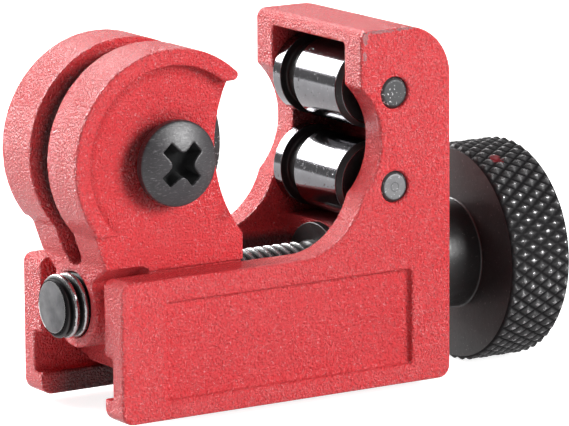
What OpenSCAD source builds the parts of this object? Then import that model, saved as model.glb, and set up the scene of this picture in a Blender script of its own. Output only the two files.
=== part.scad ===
// Mini tube cutter: a cast body with two rollers, a sliding jaw with a cutter wheel, and a feed screw
// with a knurled knob. X runs from the open end of the body to the knob, Y across it and Z up.
// The pieces are drawn from the body's open end, with the side plates' lower edges at height 0, and then
// moved, so that the origin lies on the ground under the middle of the whole tool.

/* [Body] */
// Length of the body, from its open end to the face under the knob
body_len = 36; // [34:0.5:42]
// Width across the side plates
body_w = 18.2; // [17.6:0.2:22]
// Height of the tower
tower_h = 34; // [33.6:0.2:38]
// Length of the tower, from its mouth to the face under the knob
tower_len = 10.05; // [9.8:0.05:11.5]
// Height of the side plates
plate_h = 13.2; // [13:0.05:13.5]
// Thickness of the side plates
plate_t = 3.3; // [3:0.1:3.5]
// Thickness of the tower's side walls
wall_t = 2.9; // [2.6:0.1:3]
// Thickness of the tower's roof
roof_t = 1.4; // [1.2:0.05:2]
// Thickness of the tower's back wall
back_t = 2.1; // [1.6:0.1:2.3]
// Length of the solid block under the rollers that carries the feed screw
block_len = 8.7; // [7:0.1:9.2]

/* [Body details] */
// Radius of the tower's upper back corner
tower_r = 5; // [3:0.1:6]
// Radius of the lower corners, seen from the side
foot_r = 1.2; // [0.4:0.1:1.8]
// Radius of the small upper corners, seen from the side
nose_r = 0.9; // [0.2:0.1:1.2]
// Radius of the round cut in the tower's mouth
mouth_r = 7.05; // [6.6:0.05:7.6]
// Distance from the deepest place of the round cut to the rollers' axes
mouth_stop = 1.5; // [1.2:0.05:2]
// Radius of the ramp between the side plates and the tower
ramp_r = 7.3; // [7:0.05:7.6]
// How far in front of the mouth the ramp starts
ramp_len = 6.85; // [6.5:0.05:7.2]
// Width of each of the channel's grooves, up and down
groove_h = 3.9; // [3.6:0.1:4.2]
// Depth of each groove into its side plate
groove_depth = 1.4; // [1:0.1:1.5]
// Distance from the open end to the sunk panel
panel_x = 4.7; // [4:0.1:6]
// Length of the sunk panel
panel_len = 26.9; // [20:0.1:27.5]
// Height of the panel's lower edge above the ground
panel_z = 1.85; // [1.6:0.05:2.4]
// Height of the sunk panel
panel_h = 9.1; // [7:0.1:9.6]
// Depth of the sunk panel
panel_depth = 0.6; // [0.3:0.05:0.7]

/* [Rollers] */
// Radius of the rollers
roller_r = 3.9; // [3.5:0.05:4]
// Gap between the two rollers
roller_space = 1.1; // [0.8:0.1:2]
// Free play of each roller along its pin
roller_play = 1; // [0.4:0.05:2]
// Chamfer at a roller's near end
roller_chamfer = 0.45; // [0.2:0.05:0.6]
// Chamfer at a roller's far end
roller_edge = 0.15; // [0.1:0.05:0.4]
// Width of the flare groove
flare_w = 2.4; // [1.6:0.1:2.6]
// Depth of the flare groove
flare_depth = 0.8; // [0.4:0.05:1]
// Distance from the roller's far end to the flare groove
flare_inset = 0.95; // [0.8:0.05:2]
// Radius of the roller pins
pin_r = 1.5; // [1.2:0.05:1.6]
// How far the pins' ends lie under the side walls' faces
pin_recess = 0.1; // [0:0.05:0.3]
// Chamfer at the pins' ends
pin_chamfer = 0.3; // [0.1:0.05:0.4]

/* [Jaw] */
// Distance from the body's open end to the wheel's axis
wheel_x = 6.95; // [6:0.05:8]
// Radius of the jaw's round head
head_r = 10.25; // [10:0.05:10.8]
// How far the head's centre lies above the wheel's axis
head_rise = 0.2; // [0:0.05:0.4]
// Width of the raised rim round the head
rim_w = 1.6; // [1:0.1:2]
// Height of the raised rim above the cheeks
rim_h = 0.95; // [0.5:0.05:1.2]
// Radius of the jaw's hollow front edge
notch_r = 13.4; // [12.8:0.1:14]
// Distance from the wheel's axis to the deepest place of the hollow edge
throat = 5.05; // [4.9:0.05:5.4]
// How far the hollow edge's centre lies above the wheel's axis
notch_rise = 0.8; // [0.4:0.1:1.2]
// Height of the hook's lower edge above the wheel's axis
hook_rise = 6.85; // [6.6:0.05:7.1]
// Distance from the wheel's axis to the hook's tip
hook_reach = 7.1; // [6.9:0.05:7.3]
// Height of the raised rim's lower end above the side plates
rim_lift = 4; // [3.6:0.05:5]
// Distance from the body's open end to the base's left end
base_x = 4.8; // [4:0.1:5.4]
// Distance from the wheel's axis to the base's right end
base_reach = 8.05; // [7.5:0.05:8.4]
// Thickness of the base under the boss round the feed screw
base_t = 2.85; // [2.2:0.05:3.2]
// Thickness of the jaw between the wheel's slot and the feed screw
floor_t = 0.65; // [0.4:0.05:0.8]
// Gap between the side plates' upper edges and the shoulder over them, where the cheeks leave the channel
shoulder_gap = 0.15; // [0.1:0.05:0.3]
// How far the neck's foot stands out past the base's left end
neck_out = 4.5; // [3.8:0.1:4.6]
// Height above the shoulder at which the neck starts to narrow
neck_rise = 0.65; // [0.4:0.05:1]
// Width of the neck's foot, where it meets the boss
neck_foot_w = 6.2; // [5:0.1:7]
// Height over which the neck narrows, down to the boss
neck_foot_h = 1.75; // [1.2:0.05:2]
// How far the neck's top stands out past its foot
neck_lean = 1.9; // [1.4:0.1:2.2]
// Height of the neck's front above the shoulder
neck_h = 6; // [4.8:0.1:6.4]
// Radius of the boss round the feed screw
boss_r = 4.05; // [3.8:0.05:4.4]
// How far the boss stands out of the base's left end
boss_out = 4.65; // [4.6:0.05:5]
// Height of the ribs above the base's lower face
rib_lift = 0.4; // [0:0.05:0.8]
// Thickness of the ribs that run in the grooves
rib_h = 2.5; // [2:0.05:2.8]

/* [Cutter wheel] */
// Radius of the wheel at its cutting edge
wheel_r = 9.2; // [9:0.05:9.4]
// Width of the wheel's hub
wheel_w = 3; // [2.6:0.1:3.4]
// Radius of the wheel's hub
wheel_hub_r = 4; // [3.4:0.1:4.6]
// Thickness of the wheel's disc
wheel_t = 1.2; // [0.9:0.1:1.6]
// Width of the ground bevel, along the radius
bevel_w = 1.5; // [1:0.1:2]
// Width of the cutting edge itself
edge_t = 0.1; // [0.05:0.01:0.15]

/* [Wheel screw] */
// Radius of the screw's head
screw_head_r = 4; // [3.6:0.1:4.4]
// Height of the head's straight side
screw_head_side = 0.9; // [0.6:0.1:1.2]
// Height of the head's dome above its side
screw_head_dome = 0.9; // [0.7:0.05:1.2]
// Gap between the head and the jaw, over which the screw's shoulder shows
screw_head_gap = 1.1; // [0.5:0.05:1.2]
// Radius of the smooth shoulder that the wheel turns on
shoulder_r = 2.4; // [2.2:0.05:2.6]
// Radius of the threaded end in the far cheek
stud_r = 2; // [1.6:0.05:2.1]
// Distance across the cross recess, from wing to wing
recess_span = 4.5; // [4:0.1:5]
// Width of each wing of the recess
recess_w = 1.2; // [0.9:0.05:1.4]
// Depth of the recess
recess_depth = 1.8; // [1.2:0.1:2]
// Turn of the recess about the screw's axis, in degrees
recess_turn = 42; // [0:1:90]

/* [Feed screw] */
// Radius over the thread's crests
thread_r = 3; // [2.8:0.05:3.05]
// Pitch of the thread
thread_pitch = 1; // [0.8:0.05:1.25]
// Depth of the thread
thread_depth = 0.6; // [0.4:0.05:0.7]
// How far the screw stands out of the body's open end
screw_out = 2.1; // [0.5:0.05:4]
// Length of smooth shank between the thread and the retaining clip
neck_gap = 1.2; // [0.8:0.1:2]
// Chamfer at the screw's ends
screw_chamfer = 0.5; // [0.3:0.05:0.8]
// Radius of the retaining clip
clip_r = 4.65; // [4.2:0.05:5]
// Thickness of the retaining clip
clip_t = 0.7; // [0.5:0.05:0.9]
// Radius of the screw in the clip's groove
clip_groove_r = 2; // [1.8:0.05:2.2]

/* [Knob] */
// Radius of the knob over its knurl
knob_r = 10.6; // [9:0.05:11]
// Thickness of the knob's grip
knob_len = 6.7; // [5:0.1:8]
// Radius of the knob's hub
hub_r = 5.25; // [4.8:0.05:6]
// Length of the knob's hub
hub_len = 5.45; // [5:0.05:8]
// Chamfer round the knob's grip
knob_chamfer = 0.45; // [0.3:0.05:0.9]
// Number of the knurl's diamonds round the grip
knurl_n = 50; // [30:1:60]
// Number of the knurl's diamonds along the grip
knurl_rows = 3; // [2:1:4]
// Depth of the knurl's grooves
knurl_depth = 0.4; // [0.2:0.05:0.6]
// Depth of the dished outer face
dish_depth = 0.35; // [0.1:0.05:0.6]
// Width of the flat ring round the dished face
dish_rim = 1.5; // [1:0.1:2.5]
// Radius of the thrust washer
washer_r = 5.75; // [5.2:0.05:6.5]
// Thickness of the thrust washer
washer_t = 0.8; // [0.5:0.05:1.2]
// Radius of the spring pin through the hub
lock_pin_r = 1; // [0.8:0.05:1.2]
// Wall of the spring pin
lock_pin_wall = 0.35; // [0.25:0.05:0.4]

/* [Clearances] */
// Clearance of every shaft in its hole, at the radius
run_clear = 0.05; // [0.02:0.01:0.08]
// Clearance at the radius of what is pressed in and doesn't turn
press_clear = 0.01; // [0.01:0.01:0.03]
// Clearance of the wheel in its slot and of the clip and washer at the body, on each side
side_clear = 0.05; // [0.03:0.01:0.1]
// Gap between the rollers and the tower's back wall
roller_gap = 0.25; // [0.2:0.05:0.6]
// Gap between the upper roller and the tower's roof
roof_gap = 0.8; // [0.4:0.05:1]
// Gap between the lower roller and the solid block
block_gap = 0.7; // [0.5:0.05:1.2]
// Gap between the wheel's cutting edge and the slot's floor
wheel_gap = 0.75; // [0.5:0.05:1]
// Clearance of the jaw's cheeks between the ramps, on each side
cheek_clear = 0.3; // [0.2:0.05:0.4]
// Clearance of the jaw's base in the channel, on each side
base_clear = 0.25; // [0.2:0.05:0.6]
// Clearance of the ribs in their grooves, all round
rib_clear = 0.2; // [0.15:0.05:0.3]

/* [Hidden] */
$fn = 96;

// Overrun of every cut past the face that it leaves
over = 1;

body_red = [0.75, 0.08, 0.1];
black_steel = [0.14, 0.14, 0.15];
ground_steel = [0.72, 0.73, 0.75];
pin_steel = [0.42, 0.43, 0.46];

channel_w = body_w - 2 * plate_t;
cavity_w = body_w - 2 * wall_t;
mouth_x = body_len - tower_len;
block_x = body_len - block_len;
ramp_x = mouth_x - ramp_len;

// Heights, from the tower's top down to the channel
roller_pitch = 2 * roller_r + roller_space;
upper_roller_z = tower_h - roof_t - roof_gap - roller_r;
lower_roller_z = upper_roller_z - roller_pitch;
cut_z = upper_roller_z - roller_pitch / 2;
block_h = lower_roller_z - roller_r - block_gap;
slot_z = cut_z - wheel_r - wheel_gap;
shoulder_z = plate_h + shoulder_gap;
neck_z = shoulder_z + neck_rise;
screw_z = slot_z - floor_t - run_clear - thread_r;
base_z = screw_z - boss_r - base_t;
groove_z = base_z + rib_lift + rib_h + rib_clear - groove_h;
rim_end_z = plate_h + rim_lift;

roller_x = body_len - back_t - roller_gap - roller_r;
mouth_cut_x = roller_x - mouth_stop - mouth_r;
roller_len = cavity_w - roller_play;
roller_far_y = cavity_w / 2 - side_clear;
flare_y = roller_far_y - flare_inset;
pin_len = body_w - 2 * pin_recess;

cheek_w = cavity_w - 2 * cheek_clear;
head_w = cheek_w + 2 * rim_h;
base_w = channel_w - 2 * base_clear;
rib_w = channel_w + 2 * groove_depth - 2 * rib_clear;
head_z = cut_z + head_rise;
base_end_x = wheel_x + base_reach;
slot_w = wheel_w + 2 * side_clear;

clip_x = block_x - side_clear - clip_t;
thread_end_x = clip_x - neck_gap;
washer_x = body_len + side_clear;
hub_x = washer_x + washer_t;
grip_x = hub_x + hub_len;
knob_end_x = grip_x + knob_len;
lock_pin_x = hub_x + hub_len / 2;
screw_end_x = knob_end_x - dish_depth;

// Distance from the body's open end to the middle of the whole tool
middle_x = (wheel_x - head_r + knob_end_x) / 2;
// Height of the side plates above the ground, which the larger knob reaches first
ground_lift = max(0, knob_r - screw_z);

// One pitch of the thread, as shares of the pitch along it and of the depth across it
thread_shares = [[0.125, 0], [0.4375, 1], [0.5625, 1], [0.875, 0]];
// Reliefs beside the retaining clip's seat: distance from its axis and radius, as shares of its radius
relief_place_share = 0.5;
relief_size_share = 0.17;
// Width of the clip's opening, as a share of its groove's diameter
clip_opening_share = 0.84;
// Width of the spring pin's slit, as a share of its radius
slit_share = 0.5;
// Centre pit of the cross recess: its two radii as shares of the span, and its depth as a share of the depth
pit_top_share = 0.3;
pit_bottom_share = 0.12;
pit_depth_share = 1.15;
// Rounding of the hook's tip and of the flare groove, as shares of the rim and of the groove
hook_round_share = 0.35;
flare_round_share = 0.3;

// Carries a flat outline, drawn in X and Z, to a plate of width w across the mid-plane
module upright(w) {
    rotate([90, 0, 0]) linear_extrude(height = w, center = true) children();
}

// Turns a shape along Z so that it lies along X, at the feed screw's height
module on_feed_axis(x) {
    translate([x, 0, screw_z]) rotate([0, 90, 0]) children();
}

// Turns a shape along Z so that it lies along Y
module across(x, y, z) {
    translate([x, y, z]) rotate([-90, 0, 0]) children();
}

// What a rounded corner takes off, with the corner at the origin and the solid towards -x and -y
module corner_waste(r) {
    difference() {
        translate([-r, -r]) square(r + over);
        translate([-r, -r]) circle(r);
    }
}

module block(x, z, size_x, width, size_z) {
    translate([x, -width / 2, z]) cube([size_x, width, size_z]);
}

// Body

module body_outline() {
    difference() {
        union() {
            square([body_len, plate_h]);
            translate([mouth_x, 0]) square([tower_len, tower_h]);
            translate([ramp_x, 0]) square([ramp_len, plate_h + ramp_r]);
        }
        translate([mouth_cut_x, cut_z]) circle(mouth_r);
        translate([ramp_x, plate_h + ramp_r]) circle(ramp_r);
        translate([body_len, tower_h]) corner_waste(tower_r);
        translate([mouth_x, tower_h]) rotate(90) corner_waste(nose_r);
        translate([0, plate_h]) rotate(90) corner_waste(nose_r);
        rotate(180) corner_waste(foot_r);
        translate([body_len, 0]) rotate(270) corner_waste(foot_r);
    }
}

module body_hollows() {
    block(-over, -over, block_x + over, channel_w, plate_h + over);
    block(-over, plate_h, block_x + over, cavity_w, block_h - plate_h + over);
    block(-over, block_h, body_len - back_t + over, cavity_w, tower_h - roof_t - block_h);
    groove_w = channel_w + 2 * groove_depth;
    block(-over, groove_z, block_x + over, groove_w, groove_h);
}

module body_panels() {
    for (side = [0, 1])
        mirror([0, side, 0])
            translate([panel_x, body_w / 2 - panel_depth, panel_z])
                cube([panel_len, panel_depth + over, panel_h]);
}

module body() {
    color(body_red) difference() {
        upright(body_w) body_outline();
        body_hollows();
        body_panels();
        for (z = [lower_roller_z, upper_roller_z])
            across(roller_x, 0, z)
                cylinder(r = pin_r + press_clear, h = body_w + 2 * over, center = true);
        on_feed_axis(block_x - over) cylinder(r = thread_r + run_clear, h = block_len + 2 * over);
    }
}

// Jaw

module cheek_outline() {
    neck_x = base_x - neck_out;
    difference() {
        union() {
            translate([wheel_x, head_z]) circle(head_r);
            polygon([
                [neck_x, neck_z],
                [base_x, neck_z],
                [base_x, shoulder_z],
                [base_end_x, shoulder_z],
                [base_end_x, head_z],
                [wheel_x, head_z],
                [neck_x - neck_lean, shoulder_z + neck_h],
            ]);
        }
        front_hollow();
    }
}

// The hollow front edge, with the hook's square underside and its rounded tip
module front_hollow() {
    hook_z = cut_z + hook_rise;
    intersection() {
        translate([wheel_x + throat + notch_r, cut_z + notch_rise]) circle(notch_r);
        translate([wheel_x, 0]) square([head_r + notch_r, hook_z]);
    }
    translate([wheel_x + hook_reach, cut_z]) square([head_r, tower_h]);
    translate([wheel_x + hook_reach, hook_z]) rotate(270) corner_waste(rim_w * hook_round_share);
}

module rim_outline() {
    difference() {
        translate([wheel_x, head_z]) circle(head_r);
        translate([wheel_x, head_z]) circle(head_r - rim_w);
        translate([wheel_x, 0]) square([head_r + over, cut_z + hook_rise]);
        translate([wheel_x - head_r - over, 0]) square([head_r + 2 * over, rim_end_z]);
        front_hollow();
    }
}

// The neck's foot, which narrows from the cheeks down to the boss
module neck_foot() {
    foot_z = neck_z - neck_foot_h;
    translate([base_x - neck_out, 0, 0]) rotate([90, 0, 90]) linear_extrude(height = neck_out + over)
        polygon([
            [-cheek_w / 2, neck_z],
            [-neck_foot_w / 2, foot_z],
            [neck_foot_w / 2, foot_z],
            [cheek_w / 2, neck_z],
        ]);
}

// The wheel's slot, with its round floor
module wheel_slot() {
    slot_len = head_r + base_end_x + over;
    round_z = slot_z + slot_w / 2;
    block(-head_r, round_z, slot_len, slot_w, tower_h);
    translate([-head_r, 0, round_z]) rotate([0, 90, 0]) cylinder(r = slot_w / 2, h = slot_len);
}

module jaw() {
    base_len = base_end_x - base_x;
    color(body_red) difference() {
        union() {
            upright(cheek_w) cheek_outline();
            upright(head_w) rim_outline();
            neck_foot();
            block(base_x, base_z, base_len, base_w, shoulder_z - base_z + over);
            block(base_x, base_z + rib_lift, base_len, rib_w, rib_h);
            on_feed_axis(base_x - boss_out) cylinder(r = boss_r, h = boss_out + base_len);
        }
        wheel_slot();
        on_feed_axis(base_x - boss_out - over)
            cylinder(r = thread_r + run_clear, h = base_len + boss_out + 2 * over);
        across(wheel_x, -head_w / 2, cut_z) cylinder(r = shoulder_r + run_clear, h = head_w / 2);
        across(wheel_x, 0, cut_z) cylinder(r = stud_r + press_clear, h = head_w);
    }
}

// Cutter wheel and its screw

module cutter_wheel() {
    half = wheel_w / 2;
    disc = wheel_t / 2;
    bore = shoulder_r + run_clear;
    color(black_steel) across(wheel_x, 0, cut_z) rotate_extrude() polygon([
        [bore, -half],
        [wheel_hub_r, -half],
        [wheel_hub_r, -disc],
        [wheel_r - bevel_w, -disc],
        [wheel_r, -edge_t / 2],
        [wheel_r, edge_t / 2],
        [wheel_r - bevel_w, disc],
        [wheel_hub_r, disc],
        [wheel_hub_r, half],
        [bore, half],
    ]);
}

module cross_recess() {
    for (turn = [0, 90])
        rotate(recess_turn + turn)
            translate([-recess_span / 2, -recess_w / 2, -over])
                cube([recess_span, recess_w, recess_depth + over]);
    cylinder(
        r1 = recess_span * pit_top_share,
        r2 = recess_span * pit_bottom_share,
        h = recess_depth * pit_depth_share
    );
}

module screw_head() {
    head_h = screw_head_side + screw_head_dome;
    dome_r = (pow(screw_head_r, 2) + pow(screw_head_dome, 2)) / (2 * screw_head_dome);
    difference() {
        intersection() {
            cylinder(r = screw_head_r, h = head_h);
            translate([0, 0, dome_r]) sphere(dome_r);
        }
        cross_recess();
    }
}

module wheel_screw() {
    head_y = -cheek_w / 2 - screw_head_gap;
    head_h = screw_head_side + screw_head_dome;
    shoulder_len = wheel_w / 2 - head_y;
    stud_len = cheek_w / 2 - head_y - pin_recess;
    color(black_steel) {
        across(wheel_x, head_y - head_h, cut_z) screw_head();
        across(wheel_x, head_y, cut_z) cylinder(r = shoulder_r, h = shoulder_len);
        across(wheel_x, head_y, cut_z) cylinder(r = stud_r, h = stud_len);
    }
}

// Rollers and their pins

module roller(z) {
    near = roller_far_y - roller_len;
    root = roller_r - flare_depth;
    round = flare_depth * flare_round_share;
    color(ground_steel) across(roller_x, 0, z) rotate_extrude() polygon([
        [pin_r + run_clear, near],
        [roller_r - roller_chamfer, near],
        [roller_r, near + roller_chamfer],
        [roller_r, flare_y - flare_w],
        [root + round, flare_y - flare_w],
        [root, flare_y - flare_w + round],
        [root, flare_y - round],
        [root + round, flare_y],
        [roller_r, flare_y],
        [roller_r, roller_far_y - roller_edge],
        [roller_r - roller_edge, roller_far_y],
        [pin_r + run_clear, roller_far_y],
    ]);
}

module roller_pin(z) {
    half = pin_len / 2;
    color(pin_steel) across(roller_x, 0, z) rotate_extrude() polygon([
        [0, -half],
        [pin_r - pin_chamfer, -half],
        [pin_r, pin_chamfer - half],
        [pin_r, half - pin_chamfer],
        [pin_r - pin_chamfer, half],
        [0, half],
    ]);
}

module upper_roller() roller(upper_roller_z);
module lower_roller() roller(lower_roller_z);
module upper_roller_pin() roller_pin(upper_roller_z);
module lower_roller_pin() roller_pin(lower_roller_z);

// Feed screw. Its thread is drawn as ridges of the thread's pitch and depth.

module feed_screw() {
    start = -screw_out;
    root = thread_r - thread_depth;
    tip_r = thread_r - screw_chamfer;
    turns = floor((thread_end_x - start) / thread_pitch);
    shank_x = start + turns * thread_pitch;
    ridges = [
        for (i = [0 : turns - 1], share = thread_shares)
            let (along = (i + share[0]) * thread_pitch)
                [min(root + thread_depth * share[1], tip_r + along), start + along]
    ];
    color(black_steel) difference() {
        on_feed_axis(0) rotate_extrude() polygon(concat(
            [[0, start], [tip_r, start]],
            ridges,
            [
                [root, shank_x],
                [thread_r, shank_x + thread_depth],
                [thread_r, clip_x],
                [clip_groove_r, clip_x],
                [clip_groove_r, clip_x + clip_t],
                [thread_r, clip_x + clip_t],
                [thread_r, screw_end_x - screw_chamfer],
                [tip_r, screw_end_x],
                [0, screw_end_x],
            ]
        ));
        translate([lock_pin_x, 0, screw_z])
            cylinder(r = lock_pin_r + press_clear, h = 2 * hub_r + 2 * over, center = true);
    }
}

module retaining_clip() {
    opening = 2 * clip_groove_r * clip_opening_share;
    color(black_steel) on_feed_axis(clip_x) linear_extrude(height = clip_t) difference() {
        circle(clip_r);
        circle(clip_groove_r + press_clear);
        translate([0, -opening / 2]) square([clip_r + over, opening]);
        for (side = [-1, 1])
            translate([0, side * clip_r * relief_place_share])
                circle(clip_r * relief_size_share);
    }
}

// Knob, its washer and its pin

module thrust_washer() {
    color(pin_steel) on_feed_axis(washer_x) difference() {
        cylinder(r = washer_r, h = washer_t);
        translate([0, 0, -over]) cylinder(r = thread_r + run_clear, h = washer_t + 2 * over);
    }
}

// A point of the grip: its distance along the feed screw, its radius and its column round the grip
function grip_point(x, r, column) =
    let (turn = 180 * column / knurl_n) [x, r * cos(turn), screw_z + r * sin(turn)];

// The grip: a flat face at each end, and rings of points between them that are in turn a groove's crossing
// and a diamond's tip. Each four-sided gap between the rings is folded along its groove.
module knurled_grip() {
    columns = 2 * knurl_n;
    rows = 2 * knurl_rows;
    face_r = knob_r - knob_chamfer;
    band_x = grip_x + knob_chamfer;
    row_pitch = (knob_len - 2 * knob_chamfer) / rows;
    lattice = [
        for (row = [0 : rows], column = [0 : columns - 1])
            let (tip = (row + column) % 2)
                grip_point(band_x + row * row_pitch, knob_r - (1 - tip) * knurl_depth, column)
    ];
    sides = [
        for (ring = [0 : rows + 1], column = [0 : columns - 1])
            let (
                a = ring * columns + column,
                b = ring * columns + (column + 1) % columns,
                c = a + columns,
                d = b + columns
            )
                each (ring + column) % 2 == 0 ? [[a, c, b], [b, c, d]] : [[a, c, d], [a, d, b]]
    ];
    polyhedron(
        points = concat(
            [for (column = [0 : columns - 1]) grip_point(grip_x, face_r, column)],
            lattice,
            [for (column = [0 : columns - 1]) grip_point(knob_end_x, face_r, column)]
        ),
        faces = concat(
            [[for (column = [0 : columns - 1]) column]],
            sides,
            [[for (column = [columns - 1 : -1 : 0]) (rows + 2) * columns + column]]
        )
    );
}

module knob() {
    dish_r = knob_r - dish_rim;
    color(black_steel) difference() {
        union() {
            on_feed_axis(hub_x) cylinder(r = hub_r, h = hub_len + over);
            knurled_grip();
        }
        on_feed_axis(hub_x - over) cylinder(r = thread_r + press_clear, h = knob_end_x - hub_x + 2 * over);
        on_feed_axis(knob_end_x - dish_depth)
            cylinder(r1 = dish_r - dish_depth, r2 = dish_r + over, h = dish_depth + over);
        translate([lock_pin_x, 0, screw_z])
            cylinder(r = lock_pin_r + press_clear, h = 2 * hub_r + 2 * over, center = true);
    }
}

module knob_pin() {
    slit = lock_pin_r * slit_share;
    pin_h = 2 * (hub_r - pin_recess);
    color(pin_steel) translate([lock_pin_x, 0, screw_z - pin_h / 2]) linear_extrude(height = pin_h)
        difference() {
            circle(lock_pin_r);
            circle(lock_pin_r - lock_pin_wall);
            translate([0, -slit / 2]) square([lock_pin_r + over, slit]);
        }
}

module placed() {
    translate([-middle_x, 0, ground_lift]) children();
}

placed() body();
placed() jaw();
placed() cutter_wheel();
placed() wheel_screw();
placed() upper_roller();
placed() lower_roller();
placed() upper_roller_pin();
placed() lower_roller_pin();
placed() feed_screw();
placed() retaining_clip();
placed() thrust_washer();
placed() knob();
placed() knob_pin();
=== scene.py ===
"""Looks of the mini tube cutter: red castings, knurled knob, cut thread, ground rollers, studio and camera.

Shapes are made in millimetres in the row frame, and scaled to metres as each piece is finished.
"""

import math

import bmesh
import bpy
import numpy as np
from mathutils import Matrix, Vector


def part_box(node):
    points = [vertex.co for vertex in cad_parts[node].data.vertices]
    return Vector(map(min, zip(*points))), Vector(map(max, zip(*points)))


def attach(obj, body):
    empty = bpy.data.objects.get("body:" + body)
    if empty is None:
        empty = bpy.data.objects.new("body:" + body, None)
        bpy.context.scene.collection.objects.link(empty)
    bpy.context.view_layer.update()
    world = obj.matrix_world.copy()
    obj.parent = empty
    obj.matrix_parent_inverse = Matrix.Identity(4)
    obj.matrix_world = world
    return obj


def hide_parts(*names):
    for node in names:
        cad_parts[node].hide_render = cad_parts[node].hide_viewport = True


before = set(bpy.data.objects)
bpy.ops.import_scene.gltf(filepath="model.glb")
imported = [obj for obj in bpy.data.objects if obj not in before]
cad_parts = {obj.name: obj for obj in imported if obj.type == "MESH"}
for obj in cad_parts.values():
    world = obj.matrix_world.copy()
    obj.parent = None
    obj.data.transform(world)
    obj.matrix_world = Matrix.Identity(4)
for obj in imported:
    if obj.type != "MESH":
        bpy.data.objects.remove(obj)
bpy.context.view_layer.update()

MM = 0.001
MAX_TRIANGLES = 190000
SCREW_TRIANGLES = 120000
SMALL_TRIANGLES = 60000
ALONG_X = (1, 0, 0)
ALONG_Y = (0, 1, 0)


def node_box(name):
    """The lowest and highest corners of a CAD node, in millimetres."""
    low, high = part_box(name)
    return Vector(low) / MM, Vector(high) / MM


def node_middle(name):
    """The middle of a CAD node's box, in millimetres."""
    low, high = node_box(name)
    return (low + high) / 2


# Places and sizes of the CAD model, in millimetres
WHEEL = node_middle("cutter_wheel")
FEED_Z = node_middle("feed_screw").z
FEED_POINT = (0, 0, FEED_Z)
BODY_LOW, BODY_HIGH = node_box("body")
TOWER_LENGTH = 10.05
ROOF_THICKNESS = 1.4
PLATE_HEIGHT = 13.2
MOUTH_X = BODY_HIGH.x - TOWER_LENGTH
ROOF_Z = BODY_HIGH.z - ROOF_THICKNESS
PLATE_Z = BODY_LOW.z + PLATE_HEIGHT
CAVITY_HALF = 6.2
SLOT_HALF = 1.55
CHEEK_Y = -5.9


# Meshes

FILLET_STEPS = 4
FILLET_GUARD = 0.04
FILLET_SHARE = 0.45
GUARD_SHARE = 0.49
ON_AXIS_RADIUS = 1e-6


def piece_from(name, points, faces, slots=None, smooth=True):
    """A new mesh object from points in millimetres, with a material slot number for each face."""
    mesh = bpy.data.meshes.new(name)
    mesh.from_pydata([tuple(p) for p in points], [], [tuple(f) for f in faces])
    if slots is not None:
        mesh.polygons.foreach_set("material_index", np.asarray(slots, np.int32))
    mesh.polygons.foreach_set("use_smooth", np.full(len(mesh.polygons), smooth))
    mesh.update()
    made = bpy.data.objects.new(name, mesh)
    bpy.context.scene.collection.objects.link(made)
    return made


def cad_copy(name, node):
    """A copy of a CAD node's mesh in millimetres."""
    made = bpy.data.objects.new(name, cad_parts[node].data.copy())
    made.data.transform(Matrix.Scale(1 / MM, 4))
    made.data.materials.clear()
    bpy.context.scene.collection.objects.link(made)
    return made


def apply_modifier(piece, kind, **settings):
    """Adds one modifier and makes its result the piece's own mesh."""
    modifier = piece.modifiers.new(kind, kind)
    for key, value in settings.items():
        setattr(modifier, key, value)
    graph = bpy.context.evaluated_depsgraph_get()
    mesh = bpy.data.meshes.new_from_object(piece.evaluated_get(graph))
    piece.modifiers.clear()
    old, piece.data = piece.data, mesh
    bpy.data.meshes.remove(old)


def triangle_count(piece):
    """How many triangles the piece's faces make."""
    return sum(len(face.vertices) - 2 for face in piece.data.polygons)


def round_edges(piece, voxel, passes, limit=MAX_TRIANGLES):
    """Remeshes a closed piece finely and softens its edges, as a casting's edges are soft."""
    apply_modifier(piece, "REMESH", mode="VOXEL", voxel_size=voxel, use_smooth_shade=True)
    apply_modifier(piece, "SMOOTH", factor=0.5, iterations=passes)
    count = triangle_count(piece)
    if count > limit:
        apply_modifier(piece, "DECIMATE", ratio=limit / count)
    piece.data.polygons.foreach_set("use_smooth", np.ones(len(piece.data.polygons), bool))


def finish_piece(piece, body, slot, nodes, *materials):
    """Scales a piece to metres, gives it its materials and lets it stand for its CAD nodes."""
    piece.data.transform(Matrix.Scale(MM, 4))
    slots = np.zeros(len(piece.data.polygons), np.int32)
    piece.data.polygons.foreach_get("material_index", slots)
    piece.data.materials.clear()
    for material in materials:
        piece.data.materials.append(material)
    piece.data.polygons.foreach_set("material_index", np.minimum(slots, len(materials) - 1))
    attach(piece, body)
    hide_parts(*nodes)
    return piece


def curve_point(start, corner, end, share):
    """A point on the curve from start to end whose ends run towards a corner."""
    return start * (1 - share) ** 2 + corner * 2 * share * (1 - share) + end * share ** 2


def filleted(corners):
    """Rounds the corners of an outline. Each corner is (along, radius, fillet, slot of the line after it)."""
    last = len(corners) - 1
    points = []
    for i, (along, radius, fillet, slot) in enumerate(corners):
        here = Vector((along, radius))
        if not fillet or i in (0, last):
            points.append((along, radius, slot))
            continue
        before = Vector(corners[i - 1][:2]) - here
        after = Vector(corners[i + 1][:2]) - here
        reach = min(fillet, before.length * FILLET_SHARE, after.length * FILLET_SHARE)
        start = here + before.normalized() * reach
        end = here + after.normalized() * reach
        lead_in = here + before.normalized() * min(reach + FILLET_GUARD, before.length * GUARD_SHARE)
        lead_out = here + after.normalized() * min(reach + FILLET_GUARD, after.length * GUARD_SHARE)
        before_slot = corners[i - 1][3]
        points.append((*lead_in, before_slot))
        for step in range(FILLET_STEPS + 1):
            share = step / FILLET_STEPS
            point = curve_point(start, here, end, share)
            points.append((*point, before_slot if share < 0.5 else slot))
        points.append((*lead_out, slot))
    return points


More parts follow.
